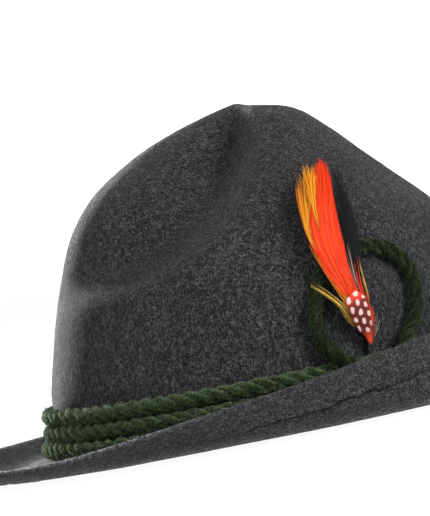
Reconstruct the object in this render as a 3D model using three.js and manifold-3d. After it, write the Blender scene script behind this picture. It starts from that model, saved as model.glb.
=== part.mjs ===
// Tyrolean felt hat with a three-row twisted cord band, a cord loop and a plume.
// The front points to -X, the wearer's left side with the plume to -Y, and +Z is up.
// The brim rests on z = 0. Every length is in millimetres and every angle in degrees.
import * as THREE from "three";
import { mergeVertices } from "three/addons/utils/BufferGeometryUtils.js";
import Module from "manifold-3d";

const CROWN_LENGTH = 210; // outer length of the crown where it meets the brim
const CROWN_WIDTH = 168; // outer width there
const CROWN_HEIGHT = 146; // from the brim junction to the level of the peak
const EGG = 0.05; // share by which the back of the oval is wider and the front narrower
const FELT = 2; // wall of the crown and the brim
const JUNCTION_HEIGHT = 5.5; // of the brim junction above the surface that the hat rests on
const FILLET = 3.5; // length of the rounded corner on the crown and on the brim

const BRIM_WIDTH = 50; // from the crown to the edge at the front
const WELT_WIDTH = 14; // felt folded under along the brim's edge
const WELT_STEP = 1; // what the fold adds to the brim's thickness
const EDGE_BULGE = 0.8; // roundness of the folded edge

const PINCH_DEPTH = 0.33; // share of the half width that the front pinch takes away
const PINCH_END_DEPTH = 0.66; // the same at its upper end, under the peak
const PINCH_LIP = 0.26; // width of its outer slope, as a share of its radius
const PINCH_END_LIP = 0.13; // the same at its upper end
const PINCH_NOSE = 0.5; // share of the depth that the nose inside it regains
const CREASE_DEPTH = 13; // lengthwise crease behind the peak
const CREASE_HALF_WIDTH = 13;

const CORD_DIAMETER = 7.4;
const CORD_ROWS = 3;
const LOOP_WIDTH = 45.5; // of the cord loop's centre line
const LOOP_HEIGHT = 51;
const LOOP_CENTRE = 0.463; // its place along the crown, as a share of the half length
const LOOP_LEAN = 0.12; // how far its top leans to the back, as a share of the height
const LOOP_FULLNESS = 2.1;
const PLUME_LENGTH = 85; // height from the foot to the tips
const PLUME_WIDTH = 20;
const PLUME_FOOT = 0.42; // its place along the crown, as a share of the half length
const PLUME_RISE_START = 0.02; // shares of the plume length between which it climbs off the crown
const PLUME_RISE_END = 0.38; // and over the cord loop
const BLACK_THICKNESS = 1.2;
const YELLOW_THICKNESS = 1;
const ORANGE_THICKNESS = 1.6;
const SPOTTED_THICKNESS = 1.2;
const LOCK_STAGGER = 0.15; // each further lock of a feather lies this much further out
const GAP = 0.3; // clearance between neighbouring pieces

const STATIONS = 56; // around the felt body and the band
const CROWN_STEPS = 18; // from the peak down to the fillet
const BRIM_STEPS = 8;
const CORD_SIDES = 8;

const FELT_COLOUR = 0x45434a;
const CORD_COLOUR = 0x2c3a28;
const BLACK_COLOUR = 0x242223;
const ORANGE_COLOUR = 0xe04a22;
const YELLOW_COLOUR = 0xc9701c;
const SPOTTED_COLOUR = 0x6e2a20;

const HALF_LENGTH = CROWN_LENGTH / 2;
const HALF_WIDTH = CROWN_WIDTH / 2;
const CORD_RADIUS = CORD_DIAMETER / 2;
const ROW_PITCH = CORD_DIAMETER + GAP;

// Rings of the crown from the junction up to the peak. front and back are shares of the half
// length, their heights are shares of the crown height, and width is a share of the half width.
// The crown is drawn in under the cord band.
const CROWN_RINGS = [
  { front: -1.0, frontHeight: 0.0, back: 1.0, backHeight: 0.0, width: 1.0, fullness: 2.0 },
  { front: -0.972, frontHeight: 0.05, back: 0.988, backHeight: 0.045, width: 0.982, fullness: 2.0 },
  { front: -0.953, frontHeight: 0.12, back: 0.982, backHeight: 0.105, width: 0.972, fullness: 2.0 },
  { front: -0.972, frontHeight: 0.19, back: 0.992, backHeight: 0.165, width: 0.985, fullness: 2.0 },
  { front: -0.91, frontHeight: 0.365, back: 0.98, backHeight: 0.31, width: 0.955, fullness: 2.0 },
  { front: -0.84, frontHeight: 0.52, back: 0.965, backHeight: 0.44, width: 0.905, fullness: 2.05 },
  { front: -0.75, frontHeight: 0.678, back: 0.92, backHeight: 0.558, width: 0.825, fullness: 2.1 },
  { front: -0.62, frontHeight: 0.796, back: 0.81, backHeight: 0.655, width: 0.71, fullness: 2.15 },
  { front: -0.423, frontHeight: 0.89, back: 0.67, backHeight: 0.773, width: 0.575, fullness: 2.2 },
  { front: -0.208, frontHeight: 0.956, back: 0.53, backHeight: 0.888, width: 0.43, fullness: 2.2 },
  { front: 0.0, frontHeight: 0.996, back: 0.392, backHeight: 0.98, width: 0.27, fullness: 2.2 },
  { front: 0.21, frontHeight: 1.03, back: 0.21, backHeight: 1.03, width: 0.0, fullness: 2.2 },
];

// The front pinch runs along an ellipse in side view: shares of the half length and the height.
const PINCH_ELLIPSE = { along: -0.81, height: 0.997, halfLength: 0.886, halfHeight: 0.438 };

// Where the lengthwise crease starts, reaches its depth, starts to fade and ends.
const CREASE_SPAN = { start: 0.09, full: 0.3, fade: 0.59, end: 0.93 };

// The brim from the front to the back of the hat: its width as a share of the width at the front,
// the slope beside the crown, the slope at the edge, and the shares of the width between which
// it curls up.
const BRIM_TABLE = [
  { angle: 0, width: 1.04, slope: -10.5, lift: 34, curlStart: 0.36, curlEnd: 0.9 },
  { angle: 45, width: 1.0, slope: -7.5, lift: 21, curlStart: 0.26, curlEnd: 0.8 },
  { angle: 90, width: 0.94, slope: -7.5, lift: 54, curlStart: 0.15, curlEnd: 0.8 },
  { angle: 135, width: 1.1, slope: -11, lift: 84, curlStart: 0.14, curlEnd: 0.7 },
  { angle: 180, width: 1.1, slope: -19, lift: 84, curlStart: 0.14, curlEnd: 0.66 },
];

// Feather locks, from the foot to the tip. up and aside are shares of the plume length, and
// width is a share of the plume width.
const BLACK_LOCKS = [
  [
    { up: 0.0, aside: 0.02, width: 0.1 },
    { up: 0.09, aside: 0.022, width: 0.1 },
    { up: 0.2, aside: -0.005, width: 0.34 },
    { up: 0.35, aside: -0.045, width: 0.52 },
    { up: 0.47, aside: -0.075, width: 0.74 },
    { up: 0.58, aside: -0.08, width: 0.9 },
    { up: 0.7, aside: -0.085, width: 1.0 },
    { up: 0.84, aside: -0.08, width: 0.84 },
    { up: 0.94, aside: -0.055, width: 0.5 },
    { up: 1.0, aside: -0.045, width: 0.12 },
  ],
  [
    { up: 0.2, aside: 0.01, width: 0.3 },
    { up: 0.4, aside: 0.0, width: 0.36 },
    { up: 0.6, aside: -0.005, width: 0.36 },
    { up: 0.75, aside: -0.005, width: 0.3 },
    { up: 0.86, aside: -0.01, width: 0.08 },
  ],
];
const YELLOW_LOCKS = [
  [
    { up: 0.1, aside: 0.02, width: 0.1 },
    { up: 0.2, aside: -0.02, width: 0.24 },
    { up: 0.33, aside: -0.06, width: 0.3 },
    { up: 0.47, aside: -0.11, width: 0.36 },
    { up: 0.62, aside: -0.15, width: 0.4 },
    { up: 0.76, aside: -0.165, width: 0.42 },
    { up: 0.87, aside: -0.155, width: 0.4 },
    { up: 0.96, aside: -0.125, width: 0.08 },
  ],
  [
    { up: 0.1, aside: 0.02, width: 0.1 },
    { up: 0.18, aside: -0.027, width: 0.2 },
    { up: 0.255, aside: -0.071, width: 0.2 },
    { up: 0.33, aside: -0.135, width: 0.16 },
    { up: 0.41, aside: -0.218, width: 0.05 },
  ],
];
const ORANGE_LOCKS = [
  [
    { up: 0.1, aside: 0.03, width: 0.14 },
    { up: 0.2, aside: 0.005, width: 0.34 },
    { up: 0.32, aside: -0.038, width: 0.38 },
    { up: 0.4, aside: -0.062, width: 0.48 },
    { up: 0.47, aside: -0.078, width: 0.56 },
    { up: 0.545, aside: -0.088, width: 0.66 },
    { up: 0.62, aside: -0.098, width: 0.7 },
    { up: 0.7, aside: -0.098, width: 0.66 },
    { up: 0.78, aside: -0.085, width: 0.5 },
    { up: 0.88, aside: -0.066, width: 0.4 },
    { up: 0.965, aside: -0.055, width: 0.06 },
  ],
  [
    { up: 0.4, aside: -0.05, width: 0.34 },
    { up: 0.6, aside: -0.075, width: 0.36 },
    { up: 0.78, aside: -0.07, width: 0.32 },
    { up: 0.9, aside: -0.05, width: 0.18 },
    { up: 0.955, aside: -0.048, width: 0.06 },
  ],
  [
    { up: 0.4, aside: -0.08, width: 0.3 },
    { up: 0.6, aside: -0.13, width: 0.3 },
    { up: 0.76, aside: -0.14, width: 0.26 },
    { up: 0.88, aside: -0.125, width: 0.2 },
    { up: 0.95, aside: -0.1, width: 0.06 },
  ],
];
const SPOTTED_LOCKS = [
  [
    { up: 0.05, aside: 0.028, width: 0.1 },
    { up: 0.085, aside: 0.026, width: 0.2 },
    { up: 0.125, aside: 0.01, width: 0.36 },
    { up: 0.167, aside: -0.004, width: 0.5 },
    { up: 0.255, aside: -0.014, width: 0.6 },
    { up: 0.32, aside: -0.014, width: 0.48 },
    { up: 0.36, aside: -0.014, width: 0.08 },
  ],
];

const lerp = THREE.MathUtils.lerp;
const step = (low, high, value) => THREE.MathUtils.smoothstep(value, low, high);
const signedPower = (value, power) => Math.sign(value) * Math.abs(value) ** power;

// One row between the rows of a table, on a Catmull-Rom curve through each column.
function between(table, place) {
  const last = table.length - 1;
  const at = Math.min(Math.max(place, 0), last - 1e-9);
  const index = Math.floor(at);
  const f = at - index;
  const rows = [index - 1, index, index + 1, index + 2].map((i) => table[Math.min(Math.max(i, 0), last)]);
  const row = {};
  for (const key of Object.keys(table[0])) {
    const [a, b, c, d] = rows.map((r) => r[key]);
    const slopeB = (c - a) / 2;
    const slopeC = (d - b) / 2;
    row[key] = b + f * (slopeB + f * (3 * (c - b) - 2 * slopeB - slopeC + f * (2 * (b - c) + slopeB + slopeC)));
  }
  return row;
}

// The outer surface of the crown: ring 0 is the junction, the last ring is the peak, and the
// turn runs from the front over the wearer's left side.
function crown(ring, turn) {
  const row = between(CROWN_RINGS, ring);
  const c = signedPower(-Math.cos(turn), 2 / row.fullness);
  const s = signedPower(-Math.sin(turn), 2 / row.fullness);
  const share = (1 + c) / 2;
  const x = lerp(row.front, row.back, share) * HALF_LENGTH;
  const rise = lerp(row.frontHeight, row.backHeight, share) * CROWN_HEIGHT;
  const y = Math.max(row.width, 0) * HALF_WIDTH * s * (1 + EGG * c);
  const rho = Math.hypot(
    (x / HALF_LENGTH - PINCH_ELLIPSE.along) / PINCH_ELLIPSE.halfLength,
    (rise / CROWN_HEIGHT - PINCH_ELLIPSE.height) / PINCH_ELLIPSE.halfHeight,
  );
  const forward = (x / HALF_LENGTH - PINCH_ELLIPSE.along) / PINCH_ELLIPSE.halfLength;
  const end = Math.min(Math.max(forward / Math.max(rho, 0.1), 0), 1) ** 4;
  const inside = 1 - PINCH_NOSE * (1 - step(0.35, 1, rho));
  const outside = 1 - step(1, 1 + lerp(PINCH_LIP, PINCH_END_LIP, end), rho);
  const pinchedY = y * (1 - lerp(PINCH_DEPTH, PINCH_END_DEPTH, end) * (rho < 1 ? inside : outside));
  const start = step(CREASE_SPAN.start, CREASE_SPAN.full, x / HALF_LENGTH);
  const along = start * (1 - step(CREASE_SPAN.fade, CREASE_SPAN.end, x / HALF_LENGTH));
  const across = Math.exp(-((pinchedY / CREASE_HALF_WIDTH) ** 2)) * step(6.5, 8.5, ring);
  const z = JUNCTION_HEIGHT + rise - CREASE_DEPTH * along * across;
  return new THREE.Vector3(x, pinchedY, z);
}

// The upper surface of the brim at an arc length from the junction oval.
function brim(turn, arc) {
  const c = -Math.cos(turn);
  const s = -Math.sin(turn);
  const table = [BRIM_TABLE[1], ...BRIM_TABLE, BRIM_TABLE.at(-2)];
  const row = between(table, 1 + THREE.MathUtils.radToDeg(Math.acos(-c)) / 45);
  const base = new THREE.Vector3(HALF_LENGTH * c, HALF_WIDTH * s * (1 + EGG * c), JUNCTION_HEIGHT);
  const alongX = HALF_LENGTH * Math.sin(turn);
  const alongY = -HALF_WIDTH * Math.cos(turn) * (1 + EGG * c) + HALF_WIDTH * s * EGG * Math.sin(turn);
  const outward = new THREE.Vector3(-alongY, alongX, 0).normalize();
  if (outward.dot(base) < 0) outward.negate();
  const width = row.width * BRIM_WIDTH;
  const steps = 24;
  const reach = { out: 0, up: 0 };
  for (let i = 0; i < steps; i += 1) {
    const at = ((i + 0.5) / steps) * arc;
    const curl = step(row.curlStart * width, row.curlEnd * width, at);
    const angle = THREE.MathUtils.degToRad(lerp(row.slope, row.lift, curl));
    reach.out += (Math.cos(angle) * arc) / steps;
    reach.up += (Math.sin(angle) * arc) / steps;
  }
  base.addScaledVector(outward, reach.out);
  base.z += reach.up;
  return base;
}

function brimWidth(turn) {
  const table = [BRIM_TABLE[1], ...BRIM_TABLE, BRIM_TABLE.at(-2)];
  return between(table, 1 + THREE.MathUtils.radToDeg(Math.acos(Math.cos(turn))) / 45).width * BRIM_WIDTH;
}

// The whole outer surface: place 0 is the peak, 1 the top of the fillet, 2 its end on the brim
// and 3 the brim's edge.
const LAST_RING = CROWN_RINGS.length - 1;
const FILLET_RING = FILLET / (CROWN_RINGS[1].backHeight * CROWN_HEIGHT);

function outer(turn, place) {
  if (place <= 1) return crown(lerp(LAST_RING, FILLET_RING, place), turn);
  if (place >= 2) return brim(turn, lerp(FILLET, brimWidth(turn), place - 2));
  const f = place - 1;
  const point = crown(FILLET_RING, turn).multiplyScalar((1 - f) ** 2);
  point.addScaledVector(crown(0, turn), 2 * f * (1 - f));
  return point.addScaledVector(brim(turn, FILLET), f * f);
}

// The direction out of the felt on its outer side.
function outwardAt(surface, turn, place) {
  const small = 1e-3;
  const around = surface(turn + small, place).sub(surface(turn - small, place));
  const down = surface(turn, place + small).sub(surface(turn, place - small));
  return down.cross(around).normalize();
}

// The felt body as closed rings of points, from the outer peak over the edge to the inner peak.
function feltRows() {
  const crownPlaces = Array.from({ length: CROWN_STEPS }, (_, i) => (i + 1) / CROWN_STEPS);
  const filletPlaces = [1.25, 1.5, 1.75];
  const brimPlaces = Array.from({ length: BRIM_STEPS }, (_, i) => 2 + i / (BRIM_STEPS - 1));
  const upper = [...crownPlaces, ...filletPlaces, ...brimPlaces];
  const rows = upper.map((place) => (turn) => outer(turn, place));
  rows.push((turn) => {
    const edge = outer(turn, 3);
    const before = outer(turn, 2.99);
    const along = edge.clone().sub(before).normalize();
    edge.addScaledVector(outwardAt(outer, turn, 2.998), -(FELT + WELT_STEP) / 2);
    return edge.addScaledVector(along, EDGE_BULGE);
  });
  const under = (turn, place, thickness) => {
    const point = outer(turn, place).addScaledVector(outwardAt(outer, turn, place), -thickness);
    if (place > 1) point.z = Math.max(point.z, 0);
    return point;
  };
  const weltPlace = (turn, extra) => 3 - (WELT_WIDTH + extra) / (brimWidth(turn) - FILLET);
  rows.push((turn) => under(turn, 2.998, FELT + WELT_STEP));
  rows.push((turn) => under(turn, lerp(weltPlace(turn, 0), 3, 0.5), FELT + WELT_STEP));
  rows.push((turn) => under(turn, weltPlace(turn, 0), FELT + WELT_STEP));
  for (const share of [0, 0.2, 0.4, 0.6, 0.76, 1]) {
    rows.push((turn) => under(turn, lerp(weltPlace(turn, 0.4), 2, share), FELT));
  }
  const lower = [...crownPlaces, ...filletPlaces].reverse();
  for (const place of lower) rows.push((turn) => under(turn, place, FELT));
  return rows;
}

function feltBody() {
  const rows = feltRows();
  const peak = crown(LAST_RING, 0);
  const points = [peak];
  for (const row of rows) {
    for (let i = 0; i < STATIONS; i += 1) points.push(row((2 * Math.PI * i) / STATIONS));
  }
  points.push(peak.clone().add(new THREE.Vector3(0, 0, -FELT)));
  return closedBands(points, rows.length, STATIONS);
}

// A closed skin over rings of points with one point before them and one after them.
function closedBands(points, rings, around) {
  const index = [];
  const last = points.length - 1;
  const at = (ring, i) => 1 + ring * around + (i % around);
  for (let i = 0; i < around; i += 1) {
    index.push(0, at(0, i), at(0, i + 1));
    index.push(last, at(rings - 1, i + 1), at(rings - 1, i));
  }
  for (let ring = 0; ring < rings - 1; ring += 1) {
    for (let i = 0; i < around; i += 1) {
      index.push(at(ring, i), at(ring + 1, i), at(ring + 1, i + 1));
      index.push(at(ring, i), at(ring + 1, i + 1), at(ring, i + 1));
    }
  }
  const geometry = new THREE.BufferGeometry().setFromPoints(points);
  geometry.setIndex(index);
  return geometry;
}

// A closed ring of cord along a closed list of points; inward points from it to the crown.
function closedCord(centres, outwards) {
  const count = centres.length;
  const points = [];
  const index = [];
  for (let i = 0; i < count; i += 1) {
    const along = centres[(i + 1) % count].clone().sub(centres[(i + count - 1) % count]).normalize();
    const out = outwards[i].clone().addScaledVector(along, -outwards[i].dot(along)).normalize();
    const side = along.clone().cross(out);
    for (let j = 0; j < CORD_SIDES; j += 1) {
      const angle = (2 * Math.PI * (j + 0.5)) / CORD_SIDES;
      const point = centres[i].clone().addScaledVector(out, CORD_RADIUS * Math.cos(angle));
      points.push(point.addScaledVector(side, CORD_RADIUS * Math.sin(angle)));
    }
  }
  const at = (i, j) => (i % count) * CORD_SIDES + (j % CORD_SIDES);
  for (let i = 0; i < count; i += 1) {
    for (let j = 0; j < CORD_SIDES; j += 1) {
      index.push(at(i, j), at(i + 1, j + 1), at(i + 1, j));
      index.push(at(i, j), at(i, j + 1), at(i + 1, j + 1));
    }
  }
  const geometry = new THREE.BufferGeometry().setFromPoints(points);
  geometry.setIndex(index);
  return geometry;
}

const crownSurface = (turn, ring) => crown(ring, turn);
const rowHeight = (row) => JUNCTION_HEIGHT + CORD_RADIUS + GAP + row * ROW_PITCH;
const BAND_TOP = rowHeight(CORD_ROWS - 1) + CORD_RADIUS;

// One row of the band, wound round the crown at its height.
function cordRow(row) {
  const centres = [];
  const outwards = [];
  for (let i = 0; i < STATIONS; i += 1) {
    const turn = (2 * Math.PI * i) / STATIONS;
    let low = 0;
    let high = 3;
    for (let k = 0; k < 40; k += 1) {
      const middle = (low + high) / 2;
      if (crown(middle, turn).z < rowHeight(row)) low = middle;
      else high = middle;
    }
    const outward = outwardAt(crownSurface, turn, low).negate().setZ(0);
    centres.push(crown(low, turn).addScaledVector(outward, (CORD_RADIUS + GAP) / outward.lengthSq()));
    outwards.push(outward);
  }
  return closedCord(centres, outwards);
}

// The point of the crown's left side at a place along the hat and a height, and its outward.
function onCrown(x, z) {
  const rise = (z - JUNCTION_HEIGHT) / CROWN_HEIGHT;
  let low = 0;
  let high = LAST_RING;
  const shareAt = (row) => (x / HALF_LENGTH - row.front) / (row.back - row.front);
  for (let k = 0; k < 40; k += 1) {
    const middle = (low + high) / 2;
    const row = between(CROWN_RINGS, middle);
    if (lerp(row.frontHeight, row.backHeight, shareAt(row)) < rise) low = middle;
    else high = middle;
  }
  const row = between(CROWN_RINGS, low);
  const c = signedPower(2 * shareAt(row) - 1, row.fullness / 2);
  const turn = Math.acos(-c);
  return { point: crown(low, turn), outward: outwardAt(crownSurface, turn, low).negate() };
}

// The cord loop lies on the crown, and its foot lies on the band's top row.
function cordLoop() {
  const centres = [];
  const outwards = [];
  const middle = rowHeight(CORD_ROWS - 1) + LOOP_HEIGHT / 2;
  const count = 38;
  for (let i = 0; i < count; i += 1) {
    const angle = (2 * Math.PI * i) / count;
    const dx = (LOOP_WIDTH / 2) * signedPower(Math.cos(angle), 2 / LOOP_FULLNESS);
    const dz = (LOOP_HEIGHT / 2) * signedPower(Math.sin(angle), 2 / LOOP_FULLNESS);
    const z = middle + dz;
    const { point, outward } = onCrown(LOOP_CENTRE * HALF_LENGTH + dx + LOOP_LEAN * dz, z);
    const over = Math.sqrt(Math.max(0, (ROW_PITCH + GAP) ** 2 - (z - rowHeight(CORD_ROWS - 1)) ** 2));
    centres.push(point.addScaledVector(outward, CORD_RADIUS + GAP + over));
    outwards.push(outward);
  }
  return closedCord(centres, outwards);
}

// One lock of a feather: lens-shaped sections along its table, closed at both ends. stand is
// the height of its middle over the feather's bed, which climbs from the crown over the loop.
function lock(table, thickness, stand) {
  const steps = 2 * (table.length - 1);
  const footX = PLUME_FOOT * HALF_LENGTH;
  const footZ = BAND_TOP + 2 * GAP;
  const outline = [[1, 0], [0.5, 0.9], [-0.5, 0.9], [-1, 0], [-0.5, -0.9], [0.5, -0.9]];
  const place = (row) => [footX + row.aside * PLUME_LENGTH, footZ + row.up * PLUME_LENGTH];
  const lifted = (x, z, through) => {
    const { point, outward } = onCrown(x, z);
    const climb = step(PLUME_RISE_START, PLUME_RISE_END, (z - footZ) / PLUME_LENGTH);
    return point.addScaledVector(outward, GAP + climb * (CORD_DIAMETER + GAP) + stand + through);
  };
  const points = [];
  for (let i = 0; i <= steps; i += 1) {
    const row = between(table, i / 2);
    const [x, z] = place(row);
    const [x0, z0] = place(between(table, i / 2 - 0.1));
    const [x1, z1] = place(between(table, i / 2 + 0.1));
    const length = Math.hypot(x1 - x0, z1 - z0);
    const half = (row.width * PLUME_WIDTH) / 2;
    const depth = (thickness / 2) * (1 - 0.5 * (i / steps) ** 4);
    if (i === 0) points.push(lifted(x, z, 0));
    for (const [across, through] of outline) {
      const sideX = (across * half * (z1 - z0)) / length;
      const sideZ = (-across * half * (x1 - x0)) / length;
      points.push(lifted(x + sideX, z + sideZ, through * depth));
    }
    if (i === steps) points.push(lifted(x + (x1 - x0) / 2, z + (z1 - z0) / 2, 0));
  }
  return closedBands(points, steps + 1, outline.length);
}

const wasm = await Module();
wasm.setup();

function toSolid(geometry) {
  const plain = geometry.clone();
  plain.deleteAttribute("normal");
  plain.deleteAttribute("uv");
  const merged = mergeVertices(plain, 1e-4);
  return new wasm.Manifold(new wasm.Mesh({
    numProp: 3,
    vertProperties: new Float32Array(merged.attributes.position.array),
    triVerts: new Uint32Array(merged.index.array),
  }));
}

// The locks of one feather, joined into one solid.
function feather(locks, thickness, bed) {
  const solids = locks.map((table, i) => toSolid(lock(table, thickness, bed + thickness / 2 + i * LOCK_STAGGER)));
  const mesh = solids.reduce((a, b) => a.add(b)).getMesh();
  const geometry = new THREE.BufferGeometry();
  geometry.setAttribute("position", new THREE.BufferAttribute(new Float32Array(mesh.vertProperties), 3));
  geometry.setIndex(new THREE.BufferAttribute(new Uint32Array(mesh.triVerts), 1));
  return geometry;
}

const group = new THREE.Group();

function addPiece(name, geometry, colour, roughness) {
  geometry.computeVertexNormals();
  const material = new THREE.MeshStandardMaterial({ color: colour, roughness, metalness: 0 });
  const mesh = new THREE.Mesh(geometry, material);
  mesh.name = name;
  group.add(mesh);
}

addPiece("felt_body", feltBody(), FELT_COLOUR, 0.95);
for (let row = 0; row < CORD_ROWS; row += 1) {
  addPiece(`cord_row_${row + 1}`, cordRow(row), CORD_COLOUR, 0.9);
}
addPiece("cord_loop", cordLoop(), CORD_COLOUR, 0.9);

// The feathers lie on one another, each on the outer face of the last.
const FEATHERS = [
  { name: "feather_black", locks: BLACK_LOCKS, thickness: BLACK_THICKNESS, colour: BLACK_COLOUR },
  { name: "feather_yellow", locks: YELLOW_LOCKS, thickness: YELLOW_THICKNESS, colour: YELLOW_COLOUR },
  { name: "feather_orange", locks: ORANGE_LOCKS, thickness: ORANGE_THICKNESS, colour: ORANGE_COLOUR },
  { name: "feather_spotted", locks: SPOTTED_LOCKS, thickness: SPOTTED_THICKNESS, colour: SPOTTED_COLOUR },
];
let bed = 0;
for (const { name, locks, thickness, colour } of FEATHERS) {
  addPiece(name, feather(locks, thickness, bed), colour, 0.6);
  bed += thickness + (locks.length - 1) * LOCK_STAGGER + GAP;
}

// The origin is the middle of the footprint, so every piece moves there together.
const middle = new THREE.Box3().setFromObject(group).getCenter(new THREE.Vector3());
for (const piece of group.children) piece.position.set(-middle.x, -middle.y, 0);

export default group;
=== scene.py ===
"""Looks of a tyrolean felt hat: heathered wool felt, a twisted wool cord band with a loop, and a
layered plume. Lengths are in metres. The front of the hat points to -X and +Z is up."""
import math

import bpy
import numpy as np
from bpy.props import FloatProperty, FloatVectorProperty, IntProperty, PointerProperty
from bpy.types import Operator, Panel, PropertyGroup
from mathutils import Matrix, Vector, noise


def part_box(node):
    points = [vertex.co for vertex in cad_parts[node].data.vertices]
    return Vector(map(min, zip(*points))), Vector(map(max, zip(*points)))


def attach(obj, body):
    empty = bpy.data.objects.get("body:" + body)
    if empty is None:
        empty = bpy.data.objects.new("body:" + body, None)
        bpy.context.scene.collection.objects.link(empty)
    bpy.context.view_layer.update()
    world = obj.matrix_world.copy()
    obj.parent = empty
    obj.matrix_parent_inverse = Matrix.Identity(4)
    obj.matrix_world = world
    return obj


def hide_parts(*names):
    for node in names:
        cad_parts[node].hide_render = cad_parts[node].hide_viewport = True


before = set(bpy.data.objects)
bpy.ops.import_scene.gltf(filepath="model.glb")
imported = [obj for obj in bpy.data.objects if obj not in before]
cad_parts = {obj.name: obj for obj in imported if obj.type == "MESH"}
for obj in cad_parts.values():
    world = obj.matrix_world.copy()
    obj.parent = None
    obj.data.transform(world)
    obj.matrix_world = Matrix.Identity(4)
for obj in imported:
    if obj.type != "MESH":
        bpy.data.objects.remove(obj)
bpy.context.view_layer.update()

bl_info = {
    "name": "Tyrolean Hat",
    "version": (1, 0, 0),
    "blender": (4, 5, 0),
    "location": "3D View > Sidebar > Hat",
    "description": "Builds the felt, cord band and plume of a tyrolean hat",
    "category": "Object",
}

MM = 0.001
# How finely the hat is built.
FELT_COLUMNS = 300
BRIM_STEPS = 24
BISECTIONS = 26
CORD_SIDES = 12
BAND_POINTS = 600
LOOP_POINTS = 180
BARB_STEPS = 9
FIBRE_STEPS = 3
# A cord's three strands: how far their middles lie out and how thick they are, as shares of its radius.
STRANDS = 3
STRAND_OUT = 0.47
STRAND_RADIUS = 0.55


def length(label, text, default):
    return FloatProperty(name=label, description=text, default=default, unit="LENGTH", precision=4)


def share(label, text, default):
    return FloatProperty(name=label, description=text, default=default, min=0.0, subtype="FACTOR")


def colour(label, text, default):
    return FloatVectorProperty(name=label, description=text, default=default, size=3, min=0.0,
                               subtype="COLOR")


class HatSizes(PropertyGroup):
    """The driving sizes of the hat."""

    crown_length: length("Crown length", "Outer length of the crown at the brim", 0.210)
    crown_width: length("Crown width", "Outer width of the crown at the brim", 0.168)
    crown_height: length("Crown height", "From the brim junction to the level of the peak", 0.146)
    egg: share("Egg", "How much wider the oval is at the back than at the front", 0.05)
    felt: length("Felt", "Wall of the crown and the brim", 0.002)
    junction_height: length("Junction height", "Brim junction above the floor", 0.0055)
    fillet: length("Fillet", "Rounded corner between crown and brim", 0.0035)
    brim_width: length("Brim width", "Width of the brim at the front", 0.050)
    welt_width: length("Welt width", "Felt folded under along the brim's edge", 0.014)
    welt_step: length("Welt step", "What the fold adds to the thickness", 0.001)
    edge_bulge: length("Edge bulge", "Roundness of the folded edge", 0.0008)
    pinch_depth: share("Pinch depth", "Share of the half width taken by the front pinch", 0.33)
    pinch_end_depth: share("Pinch end depth", "The same at its upper end, under the peak", 0.66)
    pinch_lip: share("Pinch lip", "Width of the pinch's outer slope", 0.26)
    pinch_end_lip: share("Pinch end lip", "The same at its upper end", 0.13)
    pinch_nose: share("Pinch nose", "Share of the depth that the nose regains", 0.5)
    crease_depth: length("Crease depth", "Lengthwise crease behind the peak", 0.013)
    crease_half_width: length("Crease half width", "Half the width of that crease", 0.013)
    cord: length("Cord diameter", "Diameter of the twisted cord", 0.0074)
    cord_rows: IntProperty(name="Cord rows", description="Turns of the cord round the crown", default=3)
    cord_lay: length("Cord lay", "Length of one turn of the strands", 0.022)
    gap: length("Gap", "Clearance between neighbouring pieces", 0.0003)
    loop_width: length("Loop width", "Width of the cord loop's centre line", 0.0455)
    loop_height: length("Loop height", "Height of the cord loop's centre line", 0.051)
    loop_centre: share("Loop place", "Place along the crown, share of the half length", 0.463)
    loop_lean: share("Loop lean", "How far the loop's top leans to the back", 0.12)
    loop_fullness: FloatProperty(name="Loop fullness", description="2 is an ellipse", default=2.1)
    plume_length: length("Plume length", "Height from the foot to the tips", 0.085)
    plume_width: length("Plume width", "Width that the feather tables share", 0.020)
    plume_foot: share("Plume place", "Place along the crown, share of the half length", 0.42)


class HatLooks(PropertyGroup):
    """The colours and densities of the hat."""

    felt_dark: colour("Felt, dark", "Dark fibres of the felt", (0.0066, 0.0064, 0.0072))
    felt_mid: colour("Felt, mid", "Main grey of the felt", (0.0262, 0.0256, 0.0276))
    felt_light: colour("Felt, light", "Light fibres of the felt", (0.108, 0.106, 0.115))
    # The pale felt colour below is a painted highlight, laid along the brim's edge and the lowest band of the
    # outer face.
    felt_painted_light: colour("Felt, worn", "Loose pale fibres along the edge", (0.40, 0.40, 0.43))
    # The dark cord colour is the wool of the dark loose hairs and the painted shade in the grooves between
    # the strands.
    cord_dark: colour("Cord, dark", "Wool in the cord's grooves", (0.002, 0.0035, 0.0016))
    cord_light: colour("Cord, light", "Wool on the cord's strands", (0.014, 0.030, 0.006))
    orange: colour("Orange", "Orange barbs", (0.74, 0.028, 0.005))
    orange_light: colour("Light orange", "Light barbs among the orange ones", (0.86, 0.12, 0.012))
    amber: colour("Amber", "Amber barbs at the plume's edge", (0.60, 0.16, 0.004))
    olive: colour("Olive", "Dull yellow barbs", (0.30, 0.17, 0.02))
    black: colour("Black", "Black barbs", (0.004, 0.0038, 0.0038))
    plum: colour("Plum", "Ground of the spotted feather", (0.085, 0.012, 0.008))
    spot: colour("Spot", "Spots of the spotted feather", (0.66, 0.47, 0.43))
    fuzz: IntProperty(name="Felt fuzz", description="Fibres that stand off the felt", default=40000)


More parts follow.
